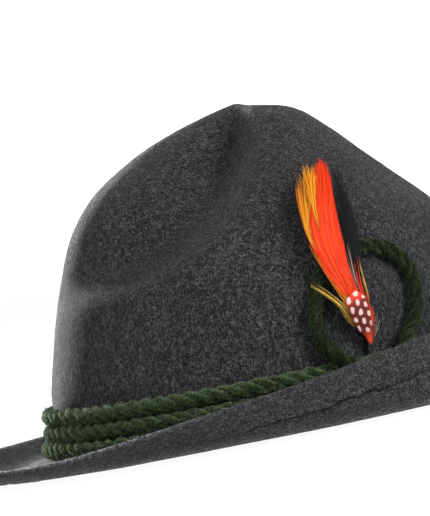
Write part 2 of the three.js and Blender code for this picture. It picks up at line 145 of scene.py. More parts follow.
# Rings of the crown, from the junction to the peak. Front and back are shares of the half length,
# their heights of the crown height, and width of the half width.
# front, front height, back, back height, width, fullness
CROWN_RINGS = np.array([
    (-1.0, 0.0, 1.0, 0.0, 1.0, 2.0),
    (-0.972, 0.05, 0.988, 0.045, 0.982, 2.0),
    (-0.953, 0.12, 0.982, 0.105, 0.972, 2.0),
    (-0.972, 0.19, 0.992, 0.165, 0.985, 2.0),
    (-0.91, 0.365, 0.98, 0.31, 0.955, 2.0),
    (-0.84, 0.52, 0.965, 0.44, 0.905, 2.05),
    (-0.75, 0.678, 0.92, 0.558, 0.825, 2.1),
    (-0.62, 0.796, 0.81, 0.655, 0.71, 2.15),
    (-0.423, 0.89, 0.67, 0.773, 0.575, 2.2),
    (-0.208, 0.956, 0.53, 0.888, 0.43, 2.2),
    (0.0, 0.996, 0.392, 0.98, 0.27, 2.2),
    (0.21, 1.03, 0.21, 1.03, 0.0, 2.2),
])
LAST_RING = len(CROWN_RINGS) - 1
# The front pinch's ellipse in side view: place along, height, half length, half height.
PINCH = (-0.81, 0.997, 0.886, 0.438)
# Where the lengthwise crease starts, is full, starts to fade and ends.
CREASE = (0.09, 0.3, 0.59, 0.93)
# The brim every 45 degrees from the front to the back: width as a share of the brim width, slope
# beside the crown, slope at the edge, and the shares of the width between which it curls up.
BRIM = np.array([
    (1.04, -10.5, 34, 0.36, 0.9),
    (1.0, -7.5, 21, 0.26, 0.8),
    (0.94, -7.5, 54, 0.15, 0.8),
    (1.1, -11, 84, 0.14, 0.7),
    (1.1, -19, 84, 0.14, 0.66),
])
BRIM = np.vstack([BRIM[1], BRIM, BRIM[-2]])

# Centre lines of the feathers, from the foot to the tip.
# up and aside are shares of the plume length, width is a share of the plume width
BLACK_MAIN = [(0.0, 0.02, 0.1), (0.09, 0.022, 0.12), (0.2, -0.005, 0.34), (0.35, -0.045, 0.56),
              (0.47, -0.075, 0.76), (0.58, -0.08, 0.92), (0.7, -0.085, 0.98), (0.84, -0.08, 0.8),
              (0.94, -0.055, 0.46), (1.0, -0.04, 0.3)]
BLACK_BACK = [(0.2, 0.02, 0.15), (0.4, 0.025, 0.3), (0.56, 0.025, 0.4), (0.7, 0.02, 0.4),
              (0.8, 0.02, 0.44), (0.9, 0.012, 0.44), (1.02, -0.012, 0.4)]
AMBER_EDGE = [(0.12, 0.02, 0.1), (0.3, -0.055, 0.3), (0.47, -0.115, 0.3), (0.62, -0.155, 0.28),
              (0.7, -0.162, 0.32), (0.76, -0.158, 0.4), (0.83, -0.15, 0.46), (0.92, -0.135, 0.5),
              (0.985, -0.12, 0.46)]
AMBER_OVER = [(0.6, -0.12, 0.12), (0.7, -0.128, 0.24), (0.8, -0.13, 0.4), (0.98, -0.128, 0.58)]
OLIVE_WISP = [(0.12, 0.0, 0.08), (0.166, -0.03, 0.16), (0.217, -0.06, 0.2), (0.26, -0.08, 0.18),
              (0.307, -0.116, 0.16), (0.357, -0.163, 0.18), (0.393, -0.198, 0.22), (0.425, -0.23, 0.24)]
OLIVE_LOW = [(0.12, 0.01, 0.06), (0.15, -0.022, 0.12), (0.18, -0.052, 0.16), (0.215, -0.082, 0.14)]
ORANGE_MAIN = [(0.1, 0.03, 0.12), (0.2, 0.005, 0.34), (0.32, -0.038, 0.4), (0.4, -0.062, 0.48),
               (0.47, -0.078, 0.56), (0.545, -0.088, 0.66), (0.62, -0.097, 0.68), (0.7, -0.094, 0.62),
               (0.78, -0.078, 0.5), (0.86, -0.066, 0.42), (0.93, -0.06, 0.38), (0.99, -0.054, 0.36)]
RED_STRAND = [(0.14, 0.034, 0.1), (0.26, 0.02, 0.12), (0.362, 0.009, 0.12), (0.433, 0.013, 0.12),
              (0.52, 0.018, 0.14)]
PALE_STRAND = [(0.3, 0.002, 0.06), (0.357, -0.002, 0.08), (0.416, -0.006, 0.1), (0.5, -0.005, 0.14),
               (0.6, -0.004, 0.16)]
OLIVE_STRAND = [(0.2, 0.046, 0.06), (0.303, 0.042, 0.1), (0.378, 0.036, 0.1), (0.449, 0.038, 0.12),
                (0.52, 0.042, 0.12)]
SPOTTED = [(0.048, 0.028, 0.07), (0.099, 0.0265, 0.22), (0.133, 0.015, 0.32), (0.174, 0.0045, 0.42),
           (0.229, -0.01, 0.48), (0.28, -0.023, 0.51), (0.31, -0.023, 0.4), (0.335, -0.023, 0.2)]
PALE_EDGE = [(0.07, 0.05, 0.04), (0.12, 0.06, 0.1), (0.17, 0.073, 0.14), (0.24, 0.09, 0.16)]


def between(table, place):
    """Rows of a table at in-between places, on a Catmull-Rom curve through each column."""
    table = np.asarray(table, float)
    last = len(table) - 1
    at = np.clip(place, 0, last - 1e-9)
    index = np.floor(at).astype(int)
    f = (at - index)[..., None]
    a, b, c, d = (table[np.clip(index + k, 0, last)] for k in (-1, 0, 1, 2))
    slope_b, slope_c = (c - a) / 2, (d - b) / 2
    square, cube = 3 * (c - b) - 2 * slope_b - slope_c, 2 * (b - c) + slope_b + slope_c
    return b + f * (slope_b + f * (square + f * cube))


def step(low, high, value):
    f = np.clip((value - low) / (high - low), 0, 1)
    return f * f * (3 - 2 * f)


def mix(a, b, f):
    return a + (b - a) * f


def power(value, exponent):
    return np.sign(value) * np.abs(value) ** exponent


def unit(vectors):
    return vectors / np.maximum(np.linalg.norm(vectors, axis=-1, keepdims=True), 1e-12)


def circle(count):
    """Angles once round, from 0."""
    return np.linspace(0, 2 * math.pi, count, endpoint=False)


def bisect(is_below, low, high):
    """The highest values, between two arrays of bounds, that still pass a test."""
    for _ in range(BISECTIONS):
        middle = (low + high) / 2
        below = is_below(middle)
        low, high = np.where(below, middle, low), np.where(below, high, middle)
    return low


class Hat:
    """The surfaces that every piece is laid on."""

    def __init__(self, sizes):
        self.s = sizes
        self.a = sizes.crown_length / 2
        self.b = sizes.crown_width / 2
        self.row_pitch = sizes.cord + sizes.gap
        self.band_top = self.row_height(sizes.cord_rows - 1) + sizes.cord / 2
        ends = self.brim(np.array([0.0, math.pi]), self.brim_width(np.array([0.0, math.pi])))
        cad_low, cad_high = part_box("felt_body")
        self.middle = (ends[0, 0] + ends[1, 0] - cad_low[0] - cad_high[0]) / 2

    def row_height(self, row):
        return self.s.junction_height + self.s.cord / 2 + self.s.gap + row * self.row_pitch

    def crown(self, ring, turn):
        """Outer surface of the crown. The turn runs from the front over the wearer's left."""
        s = self.s
        ring, turn = np.broadcast_arrays(ring, turn)
        front, front_z, back, back_z, width, fullness = np.moveaxis(between(CROWN_RINGS, ring), -1, 0)
        c = power(-np.cos(turn), 2 / fullness)
        side = power(-np.sin(turn), 2 / fullness)
        x = mix(front, back, (1 + c) / 2)
        rise = mix(front_z, back_z, (1 + c) / 2)
        y = np.maximum(width, 0) * self.b * side * (1 + s.egg * c)
        rho = np.hypot((x - PINCH[0]) / PINCH[2], (rise - PINCH[1]) / PINCH[3])
        end = np.clip((x - PINCH[0]) / PINCH[2] / np.maximum(rho, 0.1), 0, 1) ** 4
        inside = 1 - s.pinch_nose * (1 - step(0.35, 1, rho))
        outside = 1 - step(1, 1 + mix(s.pinch_lip, s.pinch_end_lip, end), rho)
        y = y * (1 - mix(s.pinch_depth, s.pinch_end_depth, end) * np.where(rho < 1, inside, outside))
        along = step(CREASE[0], CREASE[1], x) * (1 - step(CREASE[2], CREASE[3], x))
        across = np.exp(-((y / s.crease_half_width) ** 2)) * step(6.5, 8.5, ring)
        z = s.junction_height + rise * s.crown_height - s.crease_depth * along * across
        return np.stack([x * self.a, y, z], -1)

    def brim_row(self, turn):
        return between(BRIM, 1 + np.degrees(np.arccos(np.cos(turn))) / 45)

    def brim_width(self, turn):
        return self.brim_row(turn)[..., 0] * self.s.brim_width

    def brim(self, turn, arc):
        """Upper surface of the brim at an arc length from the junction oval."""
        s = self.s
        turn, arc = np.broadcast_arrays(turn, arc)
        width, slope, lift, curl_start, curl_end = np.moveaxis(self.brim_row(turn), -1, 0)
        width = width * s.brim_width
        c, side = -np.cos(turn), -np.sin(turn)
        base = np.stack([self.a * c, self.b * side * (1 + s.egg * c), 0 * c + s.junction_height], -1)
        along_y = -self.b * np.cos(turn) * (1 + s.egg * c) + self.b * side * s.egg * np.sin(turn)
        outward = unit(np.stack([-along_y, self.a * np.sin(turn), 0 * c], -1))
        outward *= np.sign((outward * base).sum(-1, keepdims=True))
        out, up = np.zeros_like(arc), np.zeros_like(arc)
        for i in range(BRIM_STEPS):
            at = (i + 0.5) / BRIM_STEPS * arc
            angle = np.radians(mix(slope, lift, step(curl_start * width, curl_end * width, at)))
            out += np.cos(angle) * arc / BRIM_STEPS
            up += np.sin(angle) * arc / BRIM_STEPS
        point = base + outward * out[..., None]
        point[..., 2] += up
        return point

    def outer(self, turn, place):
        """Whole outer surface: 0 is the peak, 1 and 2 the fillet's ends, 3 the brim's edge."""
        turn, place = np.broadcast_arrays(turn, place)
        fillet_ring = self.s.fillet / (CROWN_RINGS[1, 3] * self.s.crown_height)
        crown = self.crown(mix(LAST_RING, fillet_ring, np.clip(place, 0, 1)), turn)
        arc = mix(self.s.fillet, self.brim_width(turn), np.clip(place - 2, 0, 1))
        brim = self.brim(turn, arc)
        f = np.clip(place - 1, 0, 1)[..., None]
        corner = self.crown(0.0, turn)
        fillet = crown * (1 - f) ** 2 + 2 * f * (1 - f) * corner + f * f * brim
        where = place[..., None]
        return np.where(where <= 1, crown, np.where(where >= 2, brim, fillet))

    def outward(self, surface, u, v):
        """Direction out of a surface of two parameters."""
        small = 1e-3
        du = surface(u + small, v) - surface(u - small, v)
        dv = surface(u, v + small) - surface(u, v - small)
        return unit(np.cross(dv, du))

    def off_crown(self, turn, ring):
        """Direction out of the crown."""
        return -self.outward(lambda t, r: self.crown(r, t), turn, ring)

    def on_crown(self, x, z):
        """Points of the crown's left side at places along and heights, and their outward."""
        rise = (z - self.s.junction_height) / self.s.crown_height

        def crossed(ring):
            row = between(CROWN_RINGS, ring)
            return row, (x / self.a - row[..., 0]) / (row[..., 2] - row[..., 0])

        def is_below(ring):
            row, part = crossed(ring)
            return mix(row[..., 1], row[..., 3], part) < rise

        ring = bisect(is_below, np.zeros_like(x), np.full_like(x, float(LAST_RING)))
        row, part = crossed(ring)
        turn = np.arccos(np.clip(-power(2 * part - 1, row[..., 5] / 2), -1, 1))
        return self.crown(ring, turn), self.off_crown(turn, ring)

    def placed(self, points):
        """From the crown's own axis to the frame's origin."""
        return points - np.array([self.middle, 0, 0])


def hat():
    return Hat(bpy.context.scene.hat_sizes)


def add(thing):
    bpy.context.scene.collection.objects.link(thing)
    return thing


def new_mesh(name, points, faces, paint):
    """A smooth mesh of one material."""
    mesh = bpy.data.meshes.new(name)
    mesh.from_pydata(points.reshape(-1, 3).tolist(), [], faces)
    mesh.polygons.foreach_set("use_smooth", [True] * len(mesh.polygons))
    mesh.materials.append(paint)
    mesh.update()
    return add(bpy.data.objects.new(name, mesh))


def new_piece(name, points, faces, paint, slot, nodes=(), **numbers):
    """A piece that rides on the hat, stands for the named nodes and carries numbers on its points."""
    piece = new_mesh(name, points, faces, paint)
    for key, values in numbers.items():
        layer = piece.data.attributes.new(key, "FLOAT", "POINT")
        layer.data.foreach_set("value", np.asarray(values, np.float32).ravel())
    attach(piece, "root")
    if nodes:
        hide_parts(*nodes)


def grid_faces(rows, columns, wrap=False, first=0):
    """Quads over closed rows of columns, from a first point; wrap joins the last row to the first."""
    faces = []
    for i in range(rows if wrap else rows - 1):
        below, above = first + i * columns, first + (i + 1) % rows * columns
        for j in range(columns):
            k = (j + 1) % columns
            faces.append((below + j, above + j, above + k, below + k))
    return faces


def cap_faces(columns, rim, end, flip=False):
    """Triangles from an end point to the closed row that starts at rim."""
    faces = []
    for j in range(columns):
        pair = (rim + j, rim + (j + 1) % columns)
        faces.append((end, *(reversed(pair) if flip else pair)))
    return faces


def relief(points, layers, seed=0):
    """Height off the surface for each point, from layers of smooth noise."""
    total = np.zeros(len(points))
    for height, size, own_seed in layers:
        shift = Vector([(seed + own_seed) * part for part in (7.1, 3.7, 5.3)])
        total += height * MM * np.array([noise.noise(Vector(p) / (size * MM) + shift) for p in points])
    return total


class Sockets:
    """One material's nodes, with maths on sockets written as expressions."""

    def __init__(self, name):
        self.material = bpy.data.materials.new(name)
        self.material.use_nodes = True
        self.tree = self.material.node_tree
        self.tree.nodes.clear()

    def node(self, kind, settings=None, **values):
        """A node of a type, its settings set first, then its sockets by name or number."""
        node = self.tree.nodes.new(kind)
        for key, value in (settings or {}).items():
            if key == "stops":
                while len(node.color_ramp.elements) < len(value):
                    node.color_ramp.elements.new(0.5)
                for element, (at, shade) in zip(node.color_ramp.elements, value):
                    element.position = at
                    element.color = (*shade, 1)
            else:
                setattr(node, key, value)
        for key, value in values.items():
            socket = int(key[1:]) if key[0] == "_" else key.replace("_", " ")
            self.feed(node.inputs[socket], value)
        return node

    def feed(self, socket, value):
        if isinstance(value, Number):
            self.tree.links.new(value.socket, socket)
        elif hasattr(value, "is_output"):
            self.tree.links.new(value, socket)
        elif socket.type == "RGBA" and len(value) == 3:
            socket.default_value = (*value, 1)
        else:
            socket.default_value = value

    def noise(self, where, size, detail=2.0, roughness=0.5, distortion=0.0):
        """Noise from 0 to 1 with features of a size in metres."""
        node = self.node("ShaderNodeTexNoise", Vector=where, Scale=1 / size, Detail=detail,
                         Roughness=roughness, Distortion=distortion)
        return Number(self, node.outputs["Fac"])

    def attribute(self, name):
        return Number(self, self.node("ShaderNodeAttribute", {"attribute_name": name}).outputs["Fac"])

    def place(self, stretch=(1, 1, 1), turn=(0, 0, 0)):
        """Object coordinates, stretched and turned."""
        coordinates = self.node("ShaderNodeTexCoord").outputs["Object"]
        return self.node("ShaderNodeMapping", Vector=coordinates, Scale=stretch, Rotation=turn).outputs[0]

    def mix(self, f, a, b, blend="MIX"):
        """Colour between two colours or links."""
        node = self.node("ShaderNodeMix", {"data_type": "RGBA", "blend_type": blend}, _0=f, _6=a, _7=b)
        return node.outputs[2]

    def ramp(self, value, stops):
        return self.node("ShaderNodeValToRGB", {"stops": stops}, Fac=value).outputs["Color"]

    def bump(self, height, distance, strength=1.0):
        return self.node("ShaderNodeBump", Strength=strength, Distance=distance, Height=height).outputs[0]

    def surface(self, **values):
        """The finished material, with its shader and output."""
        shader = self.node("ShaderNodeBsdfPrincipled", **values)
        self.node("ShaderNodeOutputMaterial", Surface=shader.outputs[0])
        return self.material


class Number:
    """A socket that carries a number."""

    def __init__(self, sockets, socket):
        self.sockets, self.socket = sockets, socket

    def maths(self, operation, *values):
        """A Math node on the values, or on this number."""
        named = {f"_{i}": value for i, value in enumerate(values or (self,))}
        node = self.sockets.node("ShaderNodeMath", {"operation": operation}, **named)
        return Number(self.sockets, node.outputs[0])

    def overload(operation):
        """The method for number with value, and the reflected one for value with number."""
        return (lambda self, other: self.maths(operation, self, other),
                lambda self, other: self.maths(operation, other, self))

    __add__, __radd__ = overload("ADD")
    __sub__, __rsub__ = overload("SUBTRACT")
    __mul__, __rmul__ = overload("MULTIPLY")

    def smooth(self, low, high):
        """0 below low, 1 above high, smooth between."""
        node = self.sockets.node("ShaderNodeMapRange", {"interpolation_type": "SMOOTHSTEP"}, Value=self,
                                 From_Min=low, From_Max=high)
        return Number(self.sockets, node.outputs[0])


def felt_material():
    """Heathered wool felt: dark and light fibres matted in every direction, with painted light along the
    brim's edge and its lowest band.
    """
    s, looks = Sockets("charcoal felt"), bpy.context.scene.hat_looks
    across, along = 0.0006, 0.26
    upright = s.noise(s.place((1, 1, along)), across, 2, 0.6, 0.3)
    lengthwise = s.noise(s.place((along, 1, 1), (0, 0.5, 0.3)), across, 2, 0.6, 0.3)
    slanted = s.noise(s.place((1, along, 1), (0.6, 0, 0.5)), across, 2, 0.6, 0.3)
    clumps = s.noise(s.place(), 0.0028, 3, 0.6)
    broad = s.noise(s.place(), 0.03, 2)
    fibres = upright * 0.42 + lengthwise * 0.33 + slanted * 0.25
    tone = (fibres - 0.5) * 2.8 + (clumps - 0.5) * 0.6 + (broad - 0.5) * 0.12 + 0.5
    stops = [(0.22, looks.felt_dark), (0.5, looks.felt_mid), (0.82, looks.felt_light)]
    nap = s.noise(s.place(), 0.0007, 3, 0.6)
    height = nap * 0.3 + fibres * 1.2 + clumps * 0.6
    specks = s.noise(s.place(), 0.0015, 3, 0.75)
    # Painted highlight: where the attribute is set, specks of pale colour stand in for light on the brim's
    # edge and the lowest band.
    frost = s.attribute("frost") * (specks * 1.6 + fibres * 0.6 - 0.6).smooth(0.25, 0.85)
    shade = s.mix(frost, s.ramp(tone, stops), looks.felt_painted_light)
    return s.surface(Base_Color=shade, Roughness=0.98, Specular_IOR_Level=0.1, Sheen_Weight=0.06,
                     Sheen_Roughness=0.5, Sheen_Tint=(0.62, 0.62, 0.68), Normal=s.bump(height, 0.0028))


def fuzz_material(name, dark, light, sheen=0.05):
    """Loose fibres, each of one tone."""
    s = Sockets(name)
    shade = s.mix(s.attribute("tone"), dark, light)
    return s.surface(Base_Color=shade, Roughness=0.9, Specular_IOR_Level=0.2, Sheen_Weight=sheen)


def cord_material(name, part=1.0):
    """Soft wool yarn: light on the strands' crowns, with painted shade in the grooves. A part below 1 is
    painted shade over the whole cord.
    """
    s, looks = Sockets(name), bpy.context.scene.hat_looks
    yarn = s.noise(s.place(), 0.0016, 4, 0.7, 0.8)
    clumps = s.noise(s.place(), 0.004, 2)
    out = s.attribute("out")
    # Painted shade: the wool is darker where it lies nearer the cord's middle, in the grooves.
    tone = (out * 0.55 + (yarn - 0.5) * 3.2 + clumps * 0.4 - 0.05).smooth(0.0, 1.0)
    light = tuple(c * part for c in looks.cord_light)
    return s.surface(Base_Color=s.mix(tone, looks.cord_dark, light), Roughness=0.95,
                     Specular_IOR_Level=0.12, Sheen_Weight=0.5 * part, Sheen_Roughness=0.35,
                     Sheen_Tint=(0.5, 0.72, 0.36), Normal=s.bump(yarn + clumps * 0.5, 0.0022))


def barb_material(name, main, other, gloss=0.55):
    """Barbs of one feather: each has its tone, with painted shade towards the root."""
    s = Sockets(name)
    tone = s.attribute("tone")
    along = s.attribute("along")
    shade = s.mix(tone.smooth(0.45, 1.0), main, other)
    # Painted shade: darker towards the root, and more so on the darker barbs.
    dim = s.mix((tone * 0.6 + along * 0.5).smooth(0.0, 0.5), (0.35, 0.3, 0.3), (1, 1, 1))
    shade = s.mix(1.0, shade, dim, "MULTIPLY")
    return s.surface(Base_Color=shade, Roughness=gloss, Specular_IOR_Level=0.15)


def spotted_material():
    """Dark red-brown vane with staggered pale ovals, red at its foot and orange at its top."""
    s, looks = Sockets("spotted feather"), bpy.context.scene.hat_looks
    across, up = s.attribute("across"), s.attribute("up")
    row_pitch, column_pitch = 4.1 * MM, 2.9 * MM
    half_length, half_width = 1.45 * MM, 0.86 * MM
    wander = s.noise(s.place(), 0.0045, 1) - 0.5
    column = across * (1 / column_pitch) + wander * 0.5 + 0.5
    whole = column.maths("FLOOR")
    row = up * (1 / row_pitch) + whole * 0.5 + wander * 0.4
    cell_x = (column.maths("FRACT") - 0.5) * (column_pitch / half_width)
    cell_y = (row.maths("FRACT") - 0.5) * (row_pitch / half_length)
    square = cell_x * cell_x + cell_y * cell_y
    streak = s.noise(s.place((1, 1, 0.15)), 0.0006, 2)
    uneven = s.noise(s.place(), 0.0012, 1)
    ragged = (streak - 0.5) * 0.3
    oval = 1 - (square.maths("SQRT") + ragged + (uneven - 0.5) * 0.5).smooth(0.75, 1.05)
    ground = s.mix(streak.smooth(0.3, 0.7), looks.plum, (0.13, 0.014, 0.008))
    ground = s.mix((up + (streak - 0.5) * 0.012).smooth(0.0215, 0.0265), ground, looks.orange)
    ground = s.mix((up + (streak - 0.5) * 0.006).smooth(0.0055, 0.0115), (0.55, 0.045, 0.008), ground)
    shown = oval * (up + (streak - 0.5) * 0.003).smooth(0.0085, 0.0105)
    return s.surface(Base_Color=s.mix(shown, ground, looks.spot), Roughness=0.5,
                     Specular_IOR_Level=0.3, Normal=s.bump(streak, 0.0004, 0.7))


# The fold's raw edge in section: distance from the edge and thickness that it adds, in millimetres.
RAW_EDGE = ((-0.7, 1.15), (-0.2, 1.2), (0.0, 0.8), (0.12, 0.2), (0.4, -0.25), (0.9, -0.2), (1.5, 0.0))
# The waves of that edge: how many round the brim, height in millimetres, phase.
RAW_WAVES = ((23, 0.5, 0), (61, 0.4, 1), (97, 0.3, 2))
# Unevenness of the surfaces: height and size in millimetres, seed.
FELT_RELIEF = ((0.35, 22, 1), (0.16, 4, 2))
CORD_RELIEF = ((0.65, 1.9, 0), (0.45, 5.5, 3))


def felt_surface(form):
    """Rings of points over the whole felt, from the outer peak to the inner peak."""
    s = form.s
    turns = circle(FELT_COLUMNS)
    crown_places = np.linspace(0, 1, 92)[1:]
    fillet_places = np.array([1.2, 1.4, 1.6, 1.8])
    brim_places = np.linspace(2, 3, 40)
    upper = np.concatenate([crown_places, fillet_places, brim_places])
    thick = s.felt + s.welt_step
    rings = [form.outer(turns, place) for place in upper]

    def under(place, thickness):
        point = form.outer(turns, place) - form.outward(form.outer, turns, place) * np.asarray(thickness)
        if np.max(place) > 1:
            point[:, 2] = np.maximum(point[:, 2], 0)
        return point

    edge = form.outer(turns, 3.0)
    along = unit(edge - form.outer(turns, 2.99))
    normal = form.outward(form.outer, turns, 2.998)
    for angle in np.radians((30, 60, 90, 120, 150)):
        depth = thick / 2 * (1 - math.cos(angle))
        rings.append(edge - normal * depth + along * s.edge_bulge * math.sin(angle))
    span = form.brim_width(turns) - s.fillet
    uneven = sum(high * np.sin(turns * waves + phase) for waves, high, phase in RAW_WAVES)
    raw_edge = 3 - (s.welt_width + uneven * MM) / span
    for f in np.linspace(1, 0.12, 13):
        rings.append(under(mix(raw_edge, 2.998, f), thick))
    for extra, thickness in RAW_EDGE:
        rings.append(under(raw_edge - extra * MM / span, s.felt + thickness * MM))
    for f in np.linspace(0.04, 1, 30):
        rings.append(under(mix(raw_edge, 2.0, f), s.felt))
    for place in np.concatenate([crown_places[::2], fillet_places])[::-1]:
        rings.append(under(place, s.felt))
    peak = form.crown(float(LAST_RING), 0.0)
    return np.array(rings), peak, peak - np.array([0, 0, s.felt])


class HAT_OT_felt(Operator):
    """Build the felt crown and brim"""

    bl_idname = "hat.felt"
    bl_label = "Felt body"

    def execute(self, context):
        form = hat()
        rings, top, bottom = felt_surface(form)
        count, columns = rings.shape[:2]
        points = form.placed(np.vstack([top, rings.reshape(-1, 3), bottom]))
        raised = np.clip(points[:, 2] / (2 * MM), 0, 1)
        centre = np.array([0, 0, form.s.crown_height * 0.4])
        points = points + unit(points - centre) * (relief(points, FELT_RELIEF) * raised)[:, None]
        faces = grid_faces(count, columns, first=1) + cap_faces(columns, 1, 0)
        faces += cap_faces(columns, 1 + (count - 1) * columns, len(points) - 1, flip=True)
        turns = circle(columns)
        apart = np.linalg.norm(rings - form.outer(turns, 3.0), axis=-1)
        from_front = np.degrees(np.arccos(np.cos(turns)))
        # Painted highlight along the brim's edge, strongest at the front and fading towards the back.
        frost = 1.2 * np.exp(-(apart / (1.7 * MM)) ** 2) * (1 - 0.75 * step(58, 85, from_front))
        # Painted light from the floor: the lowest band of the outer face is made paler.
        below = np.arange(count)[:, None] > np.argmin(apart[:, 0])
        painted_floor_light = 0.9 * below * np.exp(-(rings[..., 2] / (3.8 * MM)) ** 2)
        painted_highlights = np.concatenate([[0], np.maximum(frost, painted_floor_light).ravel(), [0]])
        new_piece("felt_hat", points, faces, felt_material(), "felt", ["felt_body"], frost=painted_highlights)
        return {"FINISHED"}


def ribbons(paths, sides, widths, taper=0.25):
    """Flat strips along paths (n, steps, 3), with their side directions and widths."""
    n, steps = paths.shape[:2]
    t = np.linspace(0, 1, steps)
    shape = np.minimum(1, (1 - t) / taper) ** 0.7 * np.minimum(1, 0.5 + t / 0.1)
    half = sides * (np.asarray(widths)[:, None, None] / 2) * np.maximum(shape, 0.04)[None, :, None]
    points = np.stack([paths - half, paths + half], 2).reshape(-1, 3)
    base = (np.arange(n)[:, None] * steps + np.arange(steps - 1)[None, :]).ravel() * 2
    faces = np.stack([base, base + 1, base + 3, base + 2], 1).tolist()
    return points, faces


def fibre_piece(name, roots, normals, tangents, lengths, rng, paint, slot, width, rise=(0.25, 0.9)):
    """Short curved fibres that stand off a surface."""
    n = len(roots)
    t = np.linspace(0, 1, FIBRE_STEPS)[None, :, None]
    lift = rng.uniform(*rise, n)[:, None, None]
    bend = rng.normal(0, 0.35, (n, 1, 1))
    across = np.cross(normals, tangents)[:, None, :]
    reach = lengths[:, None, None]
    ahead = tangents[:, None, :] * t + across * bend * t * t
    rise_off = normals[:, None, :] * lift * t * (1.3 - 0.5 * t)
    paths = roots[:, None, :] + reach * (ahead * (1 - 0.4 * lift) + rise_off)
    points, faces = ribbons(paths, np.broadcast_to(across, paths.shape), np.full(n, width), 0.6)
    tones = np.repeat(rng.uniform(0, 1, n) ** 1.5, 2 * FIBRE_STEPS)
    new_piece(name, points, faces, paint, slot, tone=tones)


class HAT_OT_fuzz(Operator):
    """Scatter loose fibres over the felt"""

    bl_idname = "hat.fuzz"
    bl_label = "Felt fuzz"

    def execute(self, context):
        form = hat()
        looks = context.scene.hat_looks
        rng = np.random.default_rng(11)
        fibres = fuzz_material("felt fibres", looks.felt_mid, (0.17, 0.17, 0.185))
        # The edge fibres are paler than the others: a painted highlight along the brim's edge.
        pale = fuzz_material("pale edge fibres", looks.felt_mid, (0.42, 0.42, 0.45), 0.2)
        # name, first and last place, on the underside, share of the fibres, how far they crowd
        # towards the last place (1 is even), their width in millimetres, material
        areas = (
            ("crown_fuzz", 0.05, 0.99, False, 0.8, 0.6, 0.085, fibres),
            ("brim_fuzz", 2.05, 3.0, False, 0.45, 1.0, 0.085, fibres),
            ("brim_under_fuzz", 2.02, 3.0, True, 0.45, 1.0, 0.085, fibres),
            ("edge_fuzz", 2.86, 3.0, False, 0.25, 0.35, 0.11, pale),
        )
        for name, low, high, below, part, crowding, width, wool in areas:
            n = int(looks.fuzz * part)
            turn = rng.uniform(0, 2 * math.pi, n)
            place = mix(low, high, rng.uniform(0, 1, n) ** crowding)
            normal = -form.outward(form.outer, turn, place)
            root = form.outer(turn, place)
            if below:
                normal = -normal
                span = form.brim_width(turn) - form.s.fillet
                folded = place > 3 - form.s.welt_width / span
                root = root + normal * (form.s.felt + folded * form.s.welt_step)[:, None]
                keep = root[:, 2] > 1.2 * MM
                normal, root = normal[keep], root[keep]
            roots = form.placed(root)
            heading = unit(rng.normal(0, 1, roots.shape))
            tangent = unit(heading - normal * (heading * normal).sum(-1, keepdims=True))
            lengths = rng.uniform(0.6, 1.7, len(roots)) * MM
            fibre_piece(name, roots, normal, tangent, lengths, rng, wool, "felt", width * MM)
        return {"FINISHED"}


def strand_points(centres, outs, turns_of_lay, radius):
    """Twisted strands round a closed centre line; gives points, faces and how far out each lies."""
    count = len(centres)
    along = unit(np.roll(centres, -1, 0) - np.roll(centres, 1, 0))
    out = unit(outs - along * (outs * along).sum(-1, keepdims=True))
    side = np.cross(along, out)
    s = np.arange(count) / count
    points, faces, outness = [], [], []
    for k in range(STRANDS):
        phase = 2 * math.pi * (turns_of_lay * s + k / STRANDS)
        away = out * np.cos(phase)[:, None] + side * np.sin(phase)[:, None]
        middle = centres + away * radius * STRAND_OUT
        swell = 1 + 0.06 * np.sin(2 * math.pi * s * 37 + k * 2)
        for j in range(CORD_SIDES):
            angle = 2 * math.pi * j / CORD_SIDES + phase
            around = out * np.cos(angle)[:, None] + side * np.sin(angle)[:, None]
            points.append(middle + around * (radius * STRAND_RADIUS * swell)[:, None])
            distance = np.linalg.norm(points[-1] - centres, axis=-1) / radius
            outness.append(np.clip((distance - 0.45) / 0.55, 0, 1))
        faces += grid_faces(count, CORD_SIDES, wrap=True, first=k * count * CORD_SIDES)
    order = np.array(points).reshape(STRANDS, CORD_SIDES, count, 3).transpose(0, 2, 1, 3)
    out_order = np.array(outness).reshape(STRANDS, CORD_SIDES, count).transpose(0, 2, 1)
    return order.reshape(-1, 3), faces, out_order.ravel(), out, side, along


# Wool that stands off the cord: hairs for each millimetre, and their width in millimetres.
WOOL_DENSITY = 36
WOOL_WIDTH = 0.17


def build_cord(name, form, centres, outs, nodes, seed, rng, fibres, wool):
    """One closed twisted cord with its loose wool."""
    loop_length = np.linalg.norm(np.roll(centres, -1, 0) - centres, axis=-1).sum()
    lays = max(2, round(loop_length / form.s.cord_lay))
    radius = form.s.cord / 2
    points, faces, outness, out, side, along = strand_points(centres, outs, lays, radius)
    rings = points.reshape(-1, CORD_SIDES, 3)
    away = unit(rings - rings.mean(1, keepdims=True)).reshape(-1, 3)
    points = points + away * relief(points, CORD_RELIEF, seed)[:, None]
    new_piece(name, form.placed(points), faces, wool, "cord", nodes, out=outness)
    n = int(loop_length / MM * WOOL_DENSITY)
    i = rng.integers(0, len(centres), n)
    angle = rng.uniform(0, 2 * math.pi, n)
    normal = out[i] * np.cos(angle)[:, None] + side[i] * np.sin(angle)[:, None]
    lay = 2 * math.pi * (lays * i / len(centres))
    lobes = 0.86 + 0.14 * np.cos(3 * (angle - lay))
    roots = centres[i] + normal * (radius * lobes * 0.93)[:, None]
    roots = roots + along[i] * rng.uniform(-0.7, 0.7, (n, 1)) * MM
    tangent = unit(along[i] + np.cross(along[i], normal) * rng.normal(0.4, 0.6, (n, 1)))
    lengths = rng.uniform(0.8, 2.5, n) * MM
    fibre_piece(f"{name}_wool", form.placed(roots), normal, tangent, lengths, rng, fibres, "cord",
                WOOL_WIDTH * MM, (0.25, 1.1))


